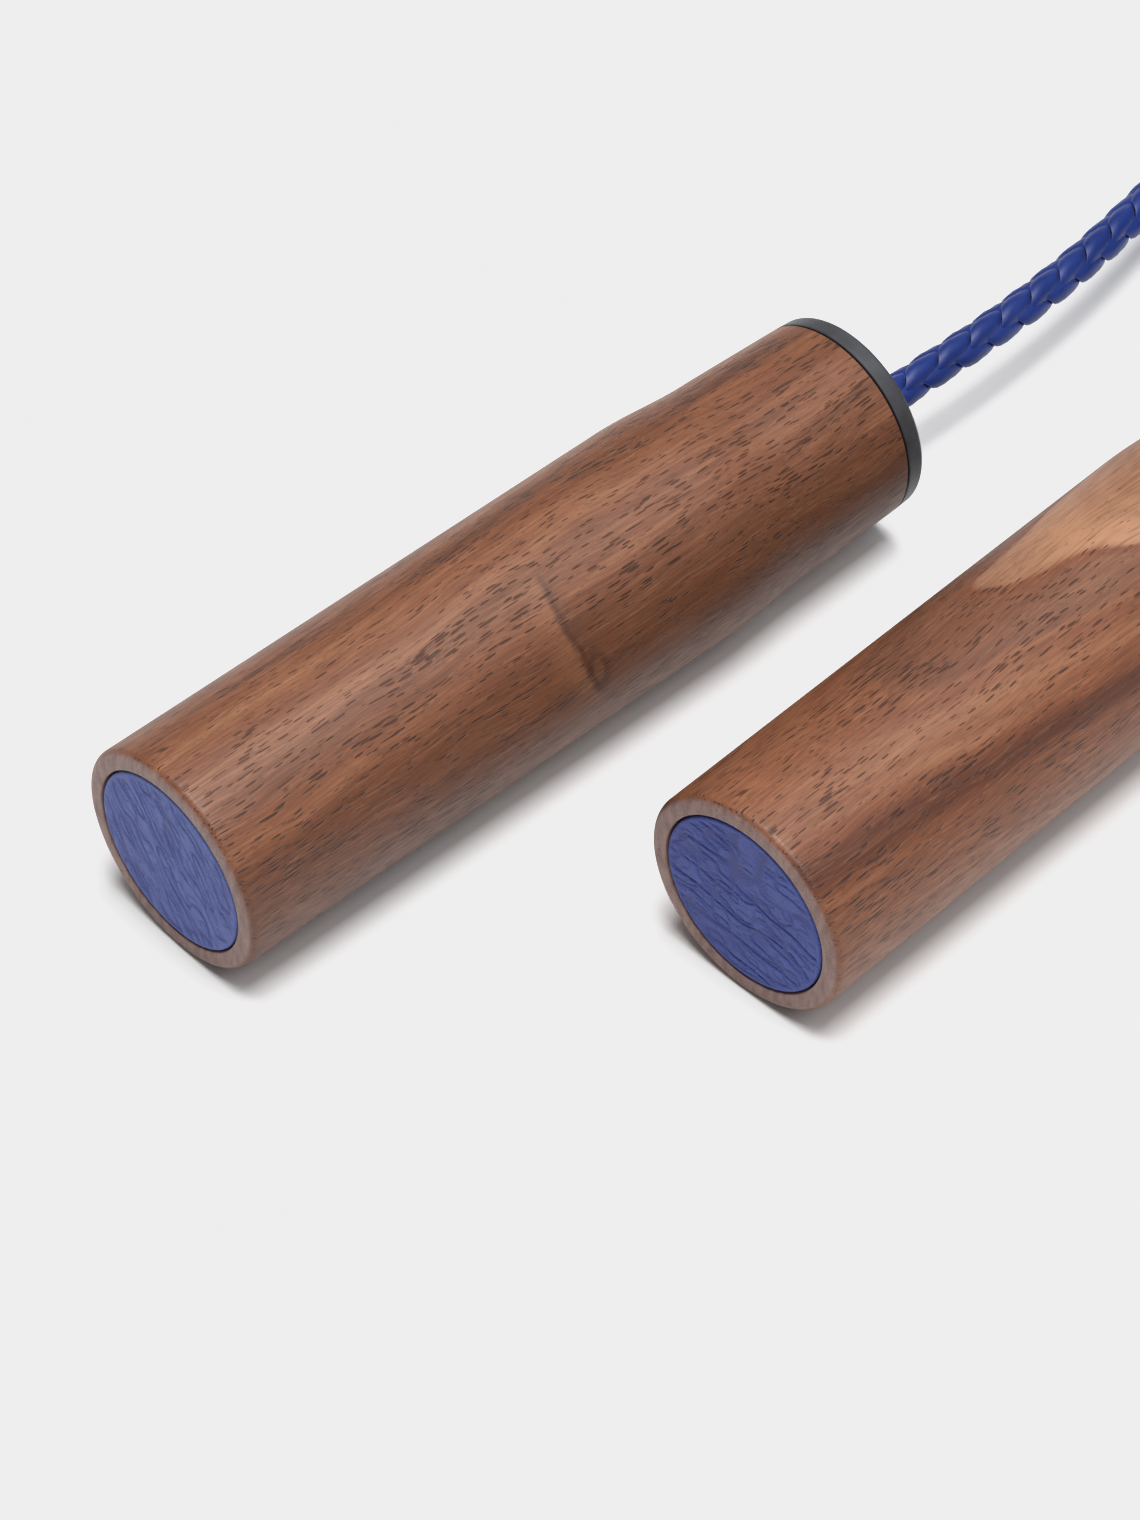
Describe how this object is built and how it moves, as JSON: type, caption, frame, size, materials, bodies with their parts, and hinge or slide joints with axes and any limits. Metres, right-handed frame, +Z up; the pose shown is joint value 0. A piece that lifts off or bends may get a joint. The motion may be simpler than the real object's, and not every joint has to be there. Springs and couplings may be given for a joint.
{
  "type": "jump rope",
  "caption": "Jump rope with turned walnut grips, leather end discs and dark metal end caps, each spinning on a ball bearing around a braided blue leather rope.",
  "frame": {"origin": "middle of the footprint of the two grips, on the floor", "axes": "+Y along the grips from their leather-capped ends towards the rope, +Z up, +X to the side of the grip that lies further forward"},
  "size_m": [0.1032, 0.3325, 0.035],
  "materials": {
    "walnut": "oiled satin",
    "blue_leather": "pebbled matte",
    "rope_leather": "smooth soft sheen, braided",
    "anodised_metal": "dark anodised satin",
    "bearing_steel": "ground and polished",
    "spring_steel": "blackened satin",
    "nylon": "moulded matte",
    "brass": "turned satin"
  },
  "bodies": {
    "rope": {"rope_left_lead": "rope_leather", "rope_right_lead": "rope_leather", "rope_coil": "rope_leather", "rope_tie": "blue_leather", "left_inner_race": "bearing_steel", "left_spindle": "anodised_metal", "left_spindle_circlip": "spring_steel", "left_stop_washer": "brass", "left_rope_ferrule": "brass", "right_inner_race": "bearing_steel", "right_spindle": "anodised_metal", "right_spindle_circlip": "spring_steel", "right_stop_washer": "brass", "right_rope_ferrule": "brass"},
    "left_grip": {"left_grip": "walnut", "left_leather_disc": "blue_leather", "left_end_cap": "anodised_metal", "left_outer_race": "bearing_steel", "left_front_shield": "bearing_steel", "left_rear_shield": "bearing_steel", "left_housing_circlip": "spring_steel"},
    "left_cage": {"left_ball_cage": "nylon", "left_ball_1": "bearing_steel", "left_ball_2": "bearing_steel", "left_ball_3": "bearing_steel", "left_ball_4": "bearing_steel", "left_ball_5": "bearing_steel", "left_ball_6": "bearing_steel", "left_ball_7": "bearing_steel"},
    "right_grip": {"right_grip": "walnut", "right_leather_disc": "blue_leather", "right_end_cap": "anodised_metal", "right_outer_race": "bearing_steel", "right_front_shield": "bearing_steel", "right_rear_shield": "bearing_steel", "right_housing_circlip": "spring_steel"},
    "right_cage": {"right_ball_cage": "nylon", "right_ball_1": "bearing_steel", "right_ball_2": "bearing_steel", "right_ball_3": "bearing_steel", "right_ball_4": "bearing_steel", "right_ball_5": "bearing_steel", "right_ball_6": "bearing_steel", "right_ball_7": "bearing_steel"}
  },
  "joints": [
    {"name": "left_grip_spin", "type": "hinge", "parent": "rope", "child": "left_grip", "pos_m": [-0.02671, 0.03974, 0.0175], "axis": [0.025, 0.9997, 0], "continuous": true},
    {"name": "left_cage_spin", "type": "hinge", "parent": "rope", "child": "left_cage", "pos_m": [-0.02671, 0.03974, 0.0175], "axis": [0.025, 0.9997, 0], "continuous": true},
    {"name": "right_grip_spin", "type": "hinge", "parent": "rope", "child": "right_grip", "pos_m": [0.02671, 0.09046, 0.0175], "axis": [-0.025, 0.9997, 0], "continuous": true},
    {"name": "right_cage_spin", "type": "hinge", "parent": "rope", "child": "right_cage", "pos_m": [0.02671, 0.09046, 0.0175], "axis": [-0.025, 0.9997, 0], "continuous": true}
  ],
  "couplings": [
    {"joint": "left_cage_spin", "follows": "left_grip_spin", "ratio": 0.60345},
    {"joint": "right_cage_spin", "follows": "right_grip_spin", "ratio": 0.60345}
  ]
}
